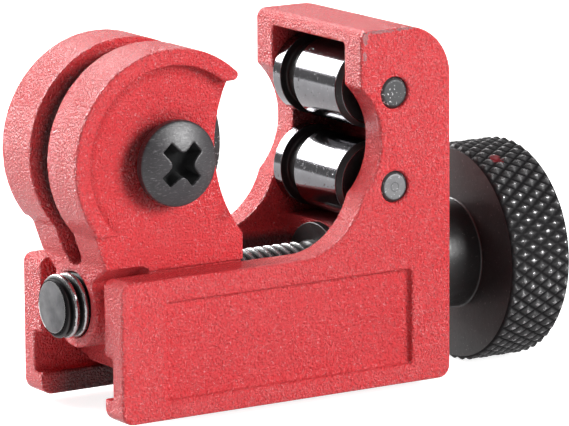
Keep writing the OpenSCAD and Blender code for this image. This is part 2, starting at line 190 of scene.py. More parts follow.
def on_axis(axis, origin, along, radius, angle):
    """A point round an axis along X or Y. Angles run right-handed round the axis."""
    c, s = radius * math.cos(angle), radius * math.sin(angle)
    if axis == "X":
        return (origin[0] + along, origin[1] + c, origin[2] + s)
    return (origin[0] + s, origin[1] + along, origin[2] + c)


def lathe(name, axis, origin, outline, segments=128, closed=False):
    """Turns an outline of (along, radius, slot) round an axis. A closed outline goes round a bore."""
    points, faces, slots, rings = [], [], [], []
    for along, radius, _ in outline:
        if radius < ON_AXIS_RADIUS:
            rings.append([len(points)] * segments)
            points.append(on_axis(axis, origin, along, 0, 0))
            continue
        rings.append(list(range(len(points), len(points) + segments)))
        for j in range(segments):
            points.append(on_axis(axis, origin, along, radius, math.tau * j / segments))
    pairs = list(zip(range(len(rings) - 1), range(1, len(rings))))
    if closed:
        pairs.append((len(rings) - 1, 0))
    for a, b in pairs:
        for j in range(segments):
            k = (j + 1) % segments
            corners = [rings[a][j], rings[a][k], rings[b][k], rings[b][j]]
            faces.append(tuple(dict.fromkeys(corners)))
            slots.append(outline[a][2])
    made = piece_from(name, points, faces, slots)
    if not faces_outward(made):
        made.data.flip_normals()
    return made


def faces_outward(piece):
    """Whether a closed mesh's faces look outwards, from the sign of its volume."""
    return sum(face.center.dot(face.normal) * face.area for face in piece.data.polygons) > 0


def weld(piece, distance):
    """Joins vertices that lie on each other, and turns all faces outwards."""
    work = bmesh.new()
    work.from_mesh(piece.data)
    bmesh.ops.remove_doubles(work, verts=work.verts, dist=distance)
    bmesh.ops.dissolve_degenerate(work, edges=work.edges, dist=distance / 10)
    bmesh.ops.recalc_face_normals(work, faces=work.faces)
    work.to_mesh(piece.data)
    work.free()


def join(pieces):
    """Joins meshes into the first one."""
    work = bmesh.new()
    for piece in pieces:
        work.from_mesh(piece.data)
    work.to_mesh(pieces[0].data)
    work.free()
    for piece in pieces[1:]:
        bpy.data.objects.remove(piece)


# Materials. Sizes are in millimetres, and colours are linear.

NOISE_SPAN = (0.3, 0.7)
WALL_SKIN = 0.05
WALL_FADE = 0.1
COAT_IOR = 1.56
COAT_DEEP = (0.8, 0.052, 0.062, 1)
COAT_LIGHT = (0.84, 0.06, 0.07, 1)
COAT_PIT = (0.42, 0.012, 0.016, 1)
# Pale specks painted as highlights of the grain catching light
COAT_PAINTED_GLINT = (0.9, 0.3, 0.32, 1)
# Painted shade deep in the body's channel and tower and in the jaw's wheel slot
COAT_HOLLOW_SHADE = (0.05, 0.01, 0.012, 1)
# Painted shadow round the wheel screw's head, and painted shade along the jaw's rim above it
COAT_SCREW_SHADOW = (0.2, 0.004, 0.005, 1)
COAT_SHADED = (0.3, 0.006, 0.008, 1)
GRAIN_SIZE = 0.21
GRAIN_DEPTH = 0.42
FINE_SIZE = 0.12
FINE_DEPTH = 0.03
HOLLOW_SHADE = 0.83
CHIP_GREY = (0.3, 0.29, 0.3, 1)
CHIP_SHOW = 0.55
SPOT_RAGGED = 1.2
# How dark and how wide the painted shadow round the wheel screw's head is
SCREW_SHADOW_STRENGTH = 0.6
SCREW_SHADOW_REACH = 5.0
# The painted shade along the inside of the jaw's rim
RIM_INSIDE = 8.65
RIM_END_Z = 18.0
RIM_SHADE = 0.36
RING_RADIUS = 0.42
RING_WIDTH = 0.09


def new_material(name, **values):
    """A Principled material with these socket values, and its node tree and shader."""
    made = bpy.data.materials.new(name)
    made.use_nodes = True
    tree = made.node_tree
    shader = tree.nodes["Principled BSDF"]
    for key, value in values.items():
        shader.inputs[key.replace("_", " ")].default_value = value
    return made, tree, shader


def plug(tree, shader, **values):
    """Links values to the shader's sockets of these names."""
    for key, value in values.items():
        tree.links.new(value, shader.inputs[key.replace("_", " ")])


def node(tree, kind, inputs=None, **settings):
    """Adds a node, sets its settings, and sets or links its inputs."""
    made = tree.nodes.new(kind)
    for key, value in settings.items():
        setattr(made, key, value)
    for key, value in (inputs or {}).items():
        if isinstance(value, bpy.types.NodeSocket):
            tree.links.new(value, made.inputs[key])
        else:
            made.inputs[key].default_value = value
    return made


def object_coords(tree, stretch=None):
    """The shaded point in the object's own frame, stretched along its axes if asked."""
    coords = node(tree, "ShaderNodeTexCoord").outputs["Object"]
    if stretch is None:
        return coords
    return node(tree, "ShaderNodeMapping", {"Vector": coords, "Scale": stretch}).outputs[0]


def noise(tree, coords, size, detail=2.0, roughness=0.5):
    """Noise whose grains are about size millimetres across."""
    return node(tree, "ShaderNodeTexNoise", {
        "Vector": coords, "Scale": 1 / (size * MM), "Detail": detail, "Roughness": roughness,
    }).outputs[0]


def span(tree, value, low, high, to_low=0.0, to_high=1.0):
    """A value's way from low to high, mapped to a new range and held at its ends."""
    return node(tree, "ShaderNodeMapRange", {
        "Value": value, "From Min": low, "From Max": high, "To Min": to_low, "To Max": to_high,
    }).outputs[0]


def spread(tree, value, low, high):
    """Noise mapped to a range."""
    return span(tree, value, *NOISE_SPAN, low, high)


def math_node(tree, operation, a, b):
    """The result of an operation on two values."""
    return node(tree, "ShaderNodeMath", {0: a, 1: b}, operation=operation).outputs[0]


def product(tree, value, *others):
    """All the values multiplied."""
    for other in others:
        value = math_node(tree, "MULTIPLY", value, other)
    return value


def unsigned(tree, value):
    """A value without its sign."""
    return node(tree, "ShaderNodeMath", {0: value}, operation="ABSOLUTE").outputs[0]


def mixed(tree, factor, a, b):
    """Blend of two colours."""
    return node(tree, "ShaderNodeMix", {0: factor, 6: a, 7: b}, data_type="RGBA").outputs[2]


def bumped(tree, shader, *layers):
    """Chains bump layers of (height, depth in millimetres) into the shader's normal."""
    normal = None
    for height, depth in layers:
        inputs = {"Height": height, "Strength": 1.0, "Distance": depth * MM}
        if normal is not None:
            inputs["Normal"] = normal
        normal = node(tree, "ShaderNodeBump", inputs).outputs[0]
    plug(tree, shader, Normal=normal)


def scaled_distance(tree, centre, scale):
    """Distance from a point in millimetres, with each axis of the way scaled from metres."""
    shift = {0: object_coords(tree), 1: tuple(c * MM for c in centre)}
    moved = node(tree, "ShaderNodeVectorMath", shift, operation="SUBTRACT")
    scaled = node(tree, "ShaderNodeVectorMath", {0: moved.outputs[0], 1: scale}, operation="MULTIPLY")
    return node(tree, "ShaderNodeVectorMath", {0: scaled.outputs[0]}, operation="LENGTH").outputs["Value"]


def radius_from(tree, centre, along):
    """Distance in millimetres from an axis that runs along X or Y through a point in millimetres."""
    return scaled_distance(tree, centre, tuple(0.0 if step else 1 / MM for step in along))


def spot(tree, centre, size):
    """1 inside a ragged spot round a point in millimetres, and 0 outside."""
    away = scaled_distance(tree, centre, tuple(1 / (MM * s) for s in size))
    rough = product(tree, noise(tree, object_coords(tree), 0.25, 3, 0.6), SPOT_RAGGED * 2)
    return span(tree, math_node(tree, "ADD", away, rough), 1.0 + SPOT_RAGGED, 0.8 + SPOT_RAGGED)


def flecks(tree, coords, size, low, high, show=1.0, detail=2, roughness=0.5):
    """Scattered marks where the noise runs over low. They are full, at show, where it reaches high."""
    return span(tree, noise(tree, coords, size, detail, roughness), low, high, 0.0, show)


def axis_value(tree, axis):
    """A coordinate of the shaded point in millimetres."""
    parts = node(tree, "ShaderNodeSeparateXYZ", {0: object_coords(tree)})
    return product(tree, parts.outputs[axis], 1 / MM)


def between_walls(tree, half):
    """1 up to the faces of two walls at this distance from the mid-plane, fading to 0 just behind them."""
    start = half + WALL_SKIN
    return span(tree, unsigned(tree, axis_value(tree, "Y")), start + WALL_FADE, start)


def inside_body(tree):
    """1 deep inside the body's channel and its tower, where the coat gets painted shade."""
    x, z = axis_value(tree, "X"), axis_value(tree, "Z")
    tower = product(
        tree,
        span(tree, x, MOUTH_X + 0.3, MOUTH_X + 2.5),
        span(tree, z, ROOF_Z + 0.1, ROOF_Z),
        span(tree, x, BODY_HIGH.x - 1.7, BODY_HIGH.x - 2.3),
    )
    channel = product(
        tree,
        span(tree, x, BODY_LOW.x + 0.2, BODY_LOW.x + 3.0),
        span(tree, z, PLATE_Z - 0.2, PLATE_Z - 1.0),
    )
    return product(tree, math_node(tree, "MAXIMUM", tower, channel), between_walls(tree, CAVITY_HALF))


def inside_jaw(tree):
    """1 deep inside the jaw's wheel slot, where the coat gets painted shade."""
    away = radius_from(tree, WHEEL, ALONG_Y)
    near_wheel = span(tree, away, WHEEL_RADIUS + 0.6, WHEEL_RADIUS - 0.4)
    return product(tree, near_wheel, between_walls(tree, SLOT_HALF))


def with_painted_shade(tree, colour, centre):
    """Painted shadow round the wheel screw's head, and painted shade along the inside of the rim above it."""
    y, z = axis_value(tree, "Y"), axis_value(tree, "Z")
    from_shadow_centre, from_wheel = radius_from(tree, centre, ALONG_Y), radius_from(tree, WHEEL, ALONG_Y)
    near = span(tree, y, centre[1] + 1.5, centre[1] + 1.0)
    # A dark ring painted round the head as its shadow
    screw_shadow_ring = span(tree, from_shadow_centre, SCREW_SHADOW_REACH, SCREW_SHADOW_REACH - 1.3, 0.0, SCREW_SHADOW_STRENGTH)
    colour = mixed(tree, product(tree, screw_shadow_ring, near), colour, COAT_SCREW_SHADOW)
    # Painted shade along the inside of the rim
    rim = product(
        tree,
        span(tree, from_wheel, RIM_INSIDE - 1.1, RIM_INSIDE - 0.5, 0.0, RIM_SHADE),
        span(tree, from_wheel, RIM_INSIDE + 0.3, RIM_INSIDE + 0.1),
        span(tree, y, centre[1] - 0.6, centre[1] - 0.2),
        span(tree, z, RIM_END_Z - 0.2, RIM_END_Z + 0.3),
        near,
    )
    return mixed(tree, rim, colour, COAT_SHADED)


def powder_coat(name, shaded_hollow, chips=(), screw_shadow=None):
    """Red powder coat with a coarse orange-peel grain, darkened in a hollow as painted shade, with pale
    specks as painted highlights, and chipped to grey metal.

    Each chip is its centre and its size, and the last argument is the point that a painted shadow round the
    wheel screw's head is centred on, all in millimetres.
    """
    made, tree, shader = new_material(name, IOR=COAT_IOR)
    coords = object_coords(tree)
    grain = noise(tree, coords, GRAIN_SIZE, 2, 0.6)
    fine = noise(tree, coords, FINE_SIZE, 1)
    red = mixed(tree, noise(tree, coords, 5.0, 2), COAT_DEEP, COAT_LIGHT)
    pitted = mixed(tree, span(tree, grain, 0.36, 0.5, 0.3, 0.0), red, COAT_PIT)
    # Pale specks: painted highlights
    colour = mixed(tree, flecks(tree, coords, 0.24, 0.68, 0.76, 0.7, 1), pitted, COAT_PAINTED_GLINT)
    # Painted shade deep in the hollow
    colour = mixed(tree, span(tree, shaded_hollow(tree), 0, 1, 0.0, HOLLOW_SHADE), colour, COAT_HOLLOW_SHADE)
    # Painted shadow round the wheel screw's head and painted shade along the rim
    if screw_shadow:
        colour = with_painted_shade(tree, colour, screw_shadow)
    for centre, size in chips:
        colour = mixed(tree, product(tree, spot(tree, centre, size), CHIP_SHOW), colour, CHIP_GREY)
    glints = span(tree, noise(tree, coords, 0.2, 2, 0.7), 0.42, 0.6, 0.1, 1.0)
    plug(tree, shader, Base_Color=colour, Roughness=spread(tree, grain, 0.2, 0.12), Specular_IOR_Level=glints)
    bumped(tree, shader, (grain, GRAIN_DEPTH), (fine, FINE_DEPTH))
    return made


def black_oxide(name="black_oxide", tone=0.03, wear=0.3, roughness=(0.3, 0.45), gloss=0.6):
    """Blackened steel with a faint mottled sheen and worn bright places."""
    made, tree, shader = new_material(name, Metallic=0.0, Specular_IOR_Level=gloss)
    coords = object_coords(tree)
    fine = noise(tree, coords, 0.35, 3)
    deep = (tone * 0.6, tone * 0.54, tone * 0.57, 1)
    pale = (tone * 1.6, tone * 1.46, tone * 1.5, 1)
    dark = mixed(tree, noise(tree, coords, 1.6, 4), deep, pale)
    worn = mixed(tree, flecks(tree, coords, 0.22, 0.66, 0.74, wear), dark, (0.35, 0.34, 0.33, 1))
    plug(tree, shader, Base_Color=worn, Roughness=spread(tree, fine, *roughness))
    bumped(tree, shader, (fine, 0.012))
    return made


def head_steel():
    """Blackened screw head with scratches, and a recess coloured near-black inside as painted shade."""
    made, tree, shader = new_material("head_steel", Specular_IOR_Level=0.6)
    coords = object_coords(tree)
    away = radius_from(tree, WHEEL, ALONG_Y)
    depth = math_node(tree, "SUBTRACT", axis_value(tree, "Y"), HEAD_FACE_Y)
    dome = product(tree, math_node(tree, "POWER", away, 2.0), HEAD_DOME / HEAD_RADIUS ** 2)
    # The recess's inside, coloured near-black below as painted shade
    sunk = span(tree, math_node(tree, "SUBTRACT", depth, dome), 0.12, 0.3)
    inside = product(tree, sunk, span(tree, away, RECESS_HALF + 0.2, RECESS_HALF + 0.1))
    scratch = noise(tree, object_coords(tree, (1.0, 1.0, 5.0)), 0.5, 4, 0.7)
    fine = noise(tree, coords, 0.2, 3)
    dark = mixed(tree, noise(tree, coords, 1.4, 4), (0.011, 0.0095, 0.011, 1), (0.042, 0.037, 0.042, 1))
    marked = mixed(tree, span(tree, scratch, 0.56, 0.68, 0.0, 0.5), dark, (0.25, 0.24, 0.25, 1))
    colour = mixed(tree, inside, marked, (0.0015, 0.0015, 0.002, 1))
    rough = math_node(tree, "ADD", spread(tree, fine, 0.3, 0.44), inside)
    plug(tree, shader, Base_Color=colour, Roughness=rough)
    bumped(tree, shader, (fine, 0.012), (scratch, 0.01))
    return made


def rubbed_black(name, radius, reach, bright, stains=()):
    """Blackened steel that is rubbed bright from a radius outwards round the feed axis, in broken patches.

    Each stain is its centre and its size in millimetres, and its colour.
    """
    made, tree, shader = new_material(name)
    coords = object_coords(tree)
    fine = noise(tree, coords, 0.25, 3, 0.6)
    away = radius_from(tree, FEED_POINT, ALONG_X)
    ragged = math_node(tree, "ADD", away, spread(tree, fine, -reach, reach))
    rubbed = span(tree, ragged, radius, radius + reach)
    colour = mixed(tree, rubbed, (0.014, 0.013, 0.014, 1), bright)
    for centre, size, stain in stains:
        colour = mixed(tree, spot(tree, centre, size), colour, stain)
    shine = span(tree, away, radius - 0.22, radius - 0.08, 0.05, 0.6)
    dull = span(tree, rubbed, 0, 1, 0.3, 0.0)
    rough = math_node(tree, "ADD", spread(tree, fine, 0.14, 0.3), dull)
    plug(tree, shader, Base_Color=colour, Metallic=rubbed, Specular_IOR_Level=shine, Roughness=rough)
    bumped(tree, shader, (fine, 0.02))
    return made


def tip_steel():
    """The feed screw's cut end: dull grey, with a bright thin edge."""
    made, tree, shader = new_material("screw_tip", Specular_IOR_Level=0.6)
    coords = object_coords(tree)
    cloud = span(tree, noise(tree, coords, 1.8, 4), 0.35, 0.65)
    grey = mixed(tree, cloud, (0.045, 0.045, 0.052, 1), (0.15, 0.148, 0.155, 1))
    edge = span(tree, radius_from(tree, FEED_POINT, ALONG_X), TIP_RADIUS - 0.16, TIP_RADIUS - 0.08)
    colour = mixed(tree, edge, grey, (0.7, 0.68, 0.68, 1))
    fine = noise(tree, coords, 0.3, 3)
    plug(tree, shader, Base_Color=colour, Metallic=edge, Roughness=spread(tree, fine, 0.3, 0.45))
    bumped(tree, shader, (fine, 0.01))
    return made


def ground_steel():
    """Ground steel with fine scratches round the roller, small dark pits and pale nicks."""
    made, tree, shader = new_material("ground_steel", Metallic=1.0)
    coords = object_coords(tree)
    rings = noise(tree, object_coords(tree, (0.12, 3.0, 0.12)), 0.3, 3)
    pits = flecks(tree, coords, 0.4, 0.64, 0.69, detail=3, roughness=0.6)
    nicks = flecks(tree, coords, 0.2, 0.7, 0.75, 0.8)
    grey = mixed(tree, noise(tree, coords, 1.2, 3), (0.14, 0.136, 0.144, 1), (0.21, 0.206, 0.218, 1))
    pitted = mixed(tree, pits, grey, (0.06, 0.055, 0.06, 1))
    colour = mixed(tree, nicks, pitted, (0.7, 0.7, 0.7, 1))
    plug(tree, shader, Base_Color=colour, Roughness=spread(tree, rings, 0.08, 0.18))
    bumped(tree, shader, (rings, 0.002), (pits, -0.01))
    return made


def pin_steel(name="pin_steel", tone=0.3, ring=None):
    """Dull drawn steel, with a punched ring round a centre where one is given."""
    made, tree, shader = new_material(name, Metallic=0.6)
    coords = object_coords(tree)
    fine = noise(tree, coords, 0.15, 2)
    deep = (tone * 0.7, tone * 0.7, tone * 0.73, 1)
    pale = (tone * 1.2, tone * 1.2, tone * 1.22, 1)
    grey = mixed(tree, noise(tree, coords, 0.9, 4), deep, pale)
    colour = mixed(tree, flecks(tree, coords, 0.25, 0.62, 0.7, 0.8), grey, (0.75, 0.74, 0.76, 1))
    if ring:
        off = unsigned(tree, math_node(tree, "SUBTRACT", radius_from(tree, ring, ALONG_Y), RING_RADIUS))
        colour = mixed(tree, span(tree, off, RING_WIDTH, 0.0, 0.0, 0.7), colour, (0.06, 0.058, 0.06, 1))
    plug(tree, shader, Base_Color=colour, Roughness=spread(tree, fine, 0.38, 0.58))
    bumped(tree, shader, (fine, 0.008))
    return made


# Cast body and jaw

BODY_VOXEL, QUICK_BODY_VOXEL = 0.15, 0.25
JAW_VOXEL, QUICK_JAW_VOXEL = 0.13, 0.2
BODY_PASSES = 8
JAW_PASSES = 10


def make_castings(body_red, jaw_red):
    """The body and the jaw, with the soft edges of castings."""
    body = cad_copy("cast_body", "body")
    round_edges(body, BODY_VOXEL, BODY_PASSES)
    finish_piece(body, "frame", "red_coating", ["body"], body_red)
    jaw = cad_copy("cast_jaw", "jaw")
    round_edges(jaw, JAW_VOXEL, JAW_PASSES)
    finish_piece(jaw, "slide", "red_coating", ["jaw"], jaw_red)


# Knob

KNOB_LOW, KNOB_HIGH = node_box("knob")
KNOB_RADIUS = FEED_Z - KNOB_LOW.z
GRIP_END = KNOB_HIGH.x
GRIP_LENGTH = 6.7
GRIP_START = GRIP_END - GRIP_LENGTH
HUB_START = KNOB_LOW.x
HUB_RADIUS = 5.25
KNOB_BORE = 3.01
BORE_MIDDLE = 16.0
DIAMONDS_ROUND = 50
DIAMONDS_ALONG = 3
DIAMOND_STEPS = 8
CHAMFER_STEPS = 4
KNURL_DEPTH = 0.32
KNURL_FLAT = 0.2
RIM_GUARD = 0.06
KNOB_CHAMFER = 0.4
DISH_DEPTH = 0.35
DISH_RADIUS = KNOB_RADIUS - 1.5


def tent(value):
    """1 at whole numbers and 0 halfway between them."""
    return abs((value % 1.0) - 0.5) * 2


def knurl_radius(along, u, v):
    """Radius of the knurled grip at a place along it, on the two families of cut lines."""
    cut = max(max(tent(u), tent(v)) - KNURL_FLAT, 0.0) / (1 - KNURL_FLAT)
    edge = min(along - GRIP_START, GRIP_END - along)
    return min(KNOB_RADIUS - KNURL_DEPTH * cut, KNOB_RADIUS - KNOB_CHAMFER + edge)


def knurl_place(row, rows):
    """Where a row of points lies along the grip: a few rows on each chamfer, the rest on the knurl."""
    last = rows - CHAMFER_STEPS
    if row < CHAMFER_STEPS:
        return GRIP_START + KNOB_CHAMFER * row / CHAMFER_STEPS
    if row > last:
        return GRIP_END - KNOB_CHAMFER * (rows - row) / CHAMFER_STEPS
    share = (row - CHAMFER_STEPS) / (last - CHAMFER_STEPS)
    return GRIP_START + KNOB_CHAMFER + share * (GRIP_LENGTH - 2 * KNOB_CHAMFER)


def make_knob(black, black_face):
    """The knob, with a real diamond knurl round its grip."""
    columns = 2 * DIAMONDS_ROUND * DIAMOND_STEPS
    rows = 2 * DIAMONDS_ALONG * DIAMOND_STEPS + 2 * CHAMFER_STEPS
    index, points, faces, slots = {}, [], [], []
    for row in range(rows + 1):
        along = knurl_place(row, rows)
        for column in range(row % 2, columns, 2):
            u = (column + row - CHAMFER_STEPS) / (2 * DIAMOND_STEPS)
            v = (column - row + CHAMFER_STEPS) / (2 * DIAMOND_STEPS)
            index[row, column] = len(points)
            radius = knurl_radius(along, u, v)
            points.append(on_axis("X", FEED_POINT, along, radius, math.tau * column / columns))
    for row in range(1, rows):
        for column in range((row + 1) % 2, columns, 2):
            left, right = (column - 1) % columns, (column + 1) % columns
            below, above = index[row - 1, column], index[row + 1, column]
            faces.append((below, index[row, right], above, index[row, left]))
            slots.append(0)
    for row, inner in ((0, 1), (rows, rows - 1)):
        for column in range(0, columns, 2):
            right = (column + 2) % columns
            faces.append((index[row, column], index[row, right], index[inner, (column + 1) % columns]))
            slots.append(0)
    ring_start = [index[0, c] for c in range(0, columns, 2)]
    ring_end = [index[rows, c] for c in range(0, columns, 2)]
    start_radius = KNOB_RADIUS - KNOB_CHAMFER
    left = filleted([
        (GRIP_START, start_radius, 0, 1),
        (GRIP_START, start_radius - RIM_GUARD, 0, 1),
        (GRIP_START, HUB_RADIUS, 0.2, 1),
        (HUB_START + 0.3, HUB_RADIUS, 0.1, 1),
        (HUB_START, HUB_RADIUS - 0.3, 0.1, 1),
        (HUB_START, KNOB_BORE, 0.1, 1),
        (BORE_MIDDLE, KNOB_BORE, 0, 1),
    ])
    right = filleted([
        (GRIP_END, start_radius, 0, 1),
        (GRIP_END, start_radius - RIM_GUARD, 0, 1),
        (GRIP_END, DISH_RADIUS, 0.15, 1),
        (GRIP_END - DISH_DEPTH, DISH_RADIUS - DISH_DEPTH, 0.15, 1),
        (GRIP_END - DISH_DEPTH, KNOB_BORE, 0.1, 1),
        (BORE_MIDDLE, KNOB_BORE, 0, 1),
    ])
    count = len(ring_start)
    for previous, outline in ((ring_start, left), (ring_end, right)):
        for along, radius, slot in outline[1:]:
            current = list(range(len(points), len(points) + count))
            for j in range(count):
                points.append(on_axis("X", FEED_POINT, along, radius, math.tau * j / count))
            for j in range(count):
                k = (j + 1) % count
                faces.append((previous[j], previous[k], current[k], current[j]))
                slots.append(slot)
            previous = current
    knob = piece_from("knurled_knob", points, faces, slots)
    weld(knob, 0.001)
    finish_piece(knob, "feed", "black_steel", ["knob"], black, black_face)


# Feed screw

SCREW_LOW, SCREW_HIGH = node_box("feed_screw")
SCREW_START = SCREW_LOW.x
THREAD_END = 2.5
SCREW_END = SCREW_HIGH.x
THREAD_RADIUS = 3.0
THREAD_DEPTH = 0.6
THREAD_ROOT = THREAD_RADIUS - THREAD_DEPTH
THREAD_PITCH = 1.0
THREAD_RUN_OUT = 0.8
SCREW_SEGMENTS = 96
THREAD_SHAPE = [0.0, 0.0, 0.3, 0.68, 0.88, 0.97, 1.0, 1.0, 0.97, 0.88, 0.68, 0.3]
TIP_RADIUS = 2.5
CLIP_SEAT = (3.7, 4.4)
CLIP_SEAT_RADIUS = 2.0


def thread_radius(along, share):
    """Radius of the thread at a place along the screw and at a share of its profile's height."""
    radius = min(THREAD_ROOT + THREAD_DEPTH * share, TIP_RADIUS + (along - SCREW_START))
    return min(radius, THREAD_ROOT + max(0.0, THREAD_END - along) * THREAD_RUN_OUT)


def make_feed_screw(threaded, shank, tip_face):
    """The feed screw: a true helix, the plain shank with the clip's seat, and the cut end."""
    per_pitch = len(THREAD_SHAPE)
    turns = int((THREAD_END - SCREW_START) / THREAD_PITCH) + 2
    rows = (turns + 1) * per_pitch
    stride = SCREW_SEGMENTS + 1
    points, faces, slots = [], [], []
    for row in range(rows + 1):
        for j in range(stride):
            along = SCREW_START + (row / per_pitch - 1 + j / SCREW_SEGMENTS) * THREAD_PITCH
            along = min(max(along, SCREW_START), THREAD_END)
            radius = thread_radius(along, THREAD_SHAPE[row % per_pitch])
            points.append(on_axis("X", FEED_POINT, along, radius, math.tau * j / SCREW_SEGMENTS))
    for row in range(rows):
        for j in range(SCREW_SEGMENTS):
            a = row * stride + j
            faces.append((a, a + 1, a + 1 + stride, a + stride))
            slots.append(0)
    helix = piece_from("threaded_feed_screw", points, faces, slots)
    tail = lathe("tail", "X", FEED_POINT, filleted([
        (THREAD_END, THREAD_ROOT, 0, 1),
        (THREAD_END + 0.6, THREAD_RADIUS, 0.15, 1),
        (CLIP_SEAT[0], THREAD_RADIUS, 0.08, 1),
        (CLIP_SEAT[0], CLIP_SEAT_RADIUS, 0.08, 1),
        (CLIP_SEAT[1], CLIP_SEAT_RADIUS, 0.08, 1),
        (CLIP_SEAT[1], THREAD_RADIUS, 0.08, 1),
        (SCREW_END - THREAD_RADIUS + TIP_RADIUS, THREAD_RADIUS, 0.15, 1),
        (SCREW_END, TIP_RADIUS, 0.15, 1),
        (SCREW_END, 0, 0, 1),
    ]), SCREW_SEGMENTS)
    tip = lathe("tip", "X", FEED_POINT, filleted([
        (SCREW_START, TIP_RADIUS, 0, 2),
        (SCREW_START, TIP_RADIUS / 2, 0, 2),
        (SCREW_START, 0, 0, 2),
    ]), SCREW_SEGMENTS)
    join([helix, tail, tip])
    weld(helix, 0.002)
    finish_piece(helix, "feed", "black_steel", ["feed_screw"], threaded, shank, tip_face)


# Wheel screw

WHEEL_SCREW_LOW, WHEEL_SCREW_HIGH = node_box("wheel_screw")
HEAD_RADIUS = WHEEL_SCREW_HIGH.z - WHEEL.z
HEAD_FACE_Y = WHEEL_SCREW_LOW.y
HEAD_DOME = 0.9
DOME_STEPS = 12
HEAD_VOXEL, QUICK_HEAD_VOXEL = 0.07, 0.12
HEAD_PASSES = 4
HEAD_SIDE = 0.9
SHOULDER_RADIUS = 2.4
SHOULDER_END_Y = 1.5
STUD_RADIUS = 2.0
STUD_END_Y = WHEEL_SCREW_HIGH.y
RECESS_TURN = 42
RECESS_HALF = 2.3
RECESS_WIDTH = 0.62
RECESS_ROUND = 0.75
RECESS_STEPS = 4
RECESS_LAYERS = [(-0.6, 1.06), (0.3, 1.0), (1.2, 0.86), (1.7, 0.7), (1.8, 0.3)]


def make_wheel_screw(black):
    """A pan-head screw with a cross recess, the shoulder that the wheel turns on, and a plain stud."""
    radius = (HEAD_RADIUS ** 2 + HEAD_DOME ** 2) / (2 * HEAD_DOME)
    underside = HEAD_FACE_Y + HEAD_DOME + HEAD_SIDE
    corners = [(HEAD_FACE_Y, 0, 0, 0)]
    for step in range(1, DOME_STEPS + 1):
        r = HEAD_RADIUS * step / DOME_STEPS
        drop = radius - math.sqrt(radius ** 2 - r ** 2)
        corners.append((HEAD_FACE_Y + drop, r, 0.3 if step == DOME_STEPS else 0, 0))
    corners += [
        (underside, HEAD_RADIUS, 0.2, 0),
        (underside, SHOULDER_RADIUS, 0.1, 0),
        (SHOULDER_END_Y, SHOULDER_RADIUS, 0.1, 0),
        (SHOULDER_END_Y, STUD_RADIUS, 0, 0),
        (STUD_END_Y, STUD_RADIUS, 0.2, 0),
        (STUD_END_Y, 0, 0, 0),
    ]
    origin = (WHEEL.x, 0, WHEEL.z)
    screw = lathe("pan_head_wheel_screw", "Y", origin, filleted(corners), SCREW_SEGMENTS)
    cutter = recess_cutter(origin)
    apply_modifier(screw, "BOOLEAN", operation="DIFFERENCE", solver="EXACT", object=cutter)
    bpy.data.objects.remove(cutter)
    round_edges(screw, HEAD_VOXEL, HEAD_PASSES, SCREW_TRIANGLES)
    finish_piece(screw, "slide", "black_steel", ["wheel_screw"], black)


def recess_cutter(origin):
    """A tapered cross with rounded inner corners, standing in the head's dome."""
    outline = []
    for turn in range(4):
        angle = math.radians(RECESS_TURN + 90 * turn)
        along = Vector((math.cos(angle), math.sin(angle)))
        side = Vector((-along.y, along.x))
        outline.append(along * RECESS_HALF - side * RECESS_WIDTH)
        outline.append(along * RECESS_HALF + side * RECESS_WIDTH)
        corner = (along + side) * RECESS_WIDTH
        start, end = corner + along * RECESS_ROUND, corner + side * RECESS_ROUND
        for step in range(RECESS_STEPS + 1):
            outline.append(curve_point(start, corner, end, step / RECESS_STEPS))
    points, faces, count = [], [], len(outline)
    for depth, scale in RECESS_LAYERS:
        for p in outline:
            points.append((origin[0] + p.x * scale, HEAD_FACE_Y + depth, origin[2] + p.y * scale))
    last = len(RECESS_LAYERS) - 1
    for layer in range(last):
        for j in range(count):
            k = (j + 1) % count
            a, b = layer * count, (layer + 1) * count
            faces.append((a + j, a + k, b + k, b + j))
    for layer in (0, last):
        ring = list(range(layer * count, (layer + 1) * count))
        faces += fan(ring, points, origin, HEAD_FACE_Y + RECESS_LAYERS[layer][0])
    cutter = piece_from("recess_cutter", points, faces, smooth=False)
    weld(cutter, 0.0001)
    return cutter


def fan(ring, points, origin, y):
    """Triangles from a ring of points to a new one in its middle."""
    middle = len(points)
    points.append((origin[0], y, origin[2]))
    return [(ring[j], ring[(j + 1) % len(ring)], middle) for j in range(len(ring))]


# Rollers, pins, wheel, washer

GROOVE_DEPTH = 0.8
GROOVE_WIDTH = 2.3
GROOVE_INSET = 1.45
NEAR_CHAMFER = 0.45
FAR_CHAMFER = 0.15
EDGE_LINE = 0.12
ROLLER_BORE = 1.55
ROLLER_SEGMENTS = 160
PIN_HALF = 9.0
PIN_RADIUS = 1.5
PIN_CHAMFER = 0.3
WHEEL_SEGMENTS = 192
WHEEL_BORE = 2.45
WHEEL_HUB_HALF = 1.5
WHEEL_HUB_RADIUS = 4.0
WHEEL_HALF = 0.6
WHEEL_BEVEL_RADIUS = 7.7
WHEEL_EDGE_HALF = 0.05
WHEEL_RADIUS = 9.2
WASHER_START = 13.2
WASHER_END = 14.0
WASHER_BORE = 3.05
WASHER_RADIUS = 5.75
CLIP_VOXEL = 0.06
CLIP_PASSES = 3
SPRING_PIN_VOXEL = 0.05
SPRING_PIN_PASSES = 2


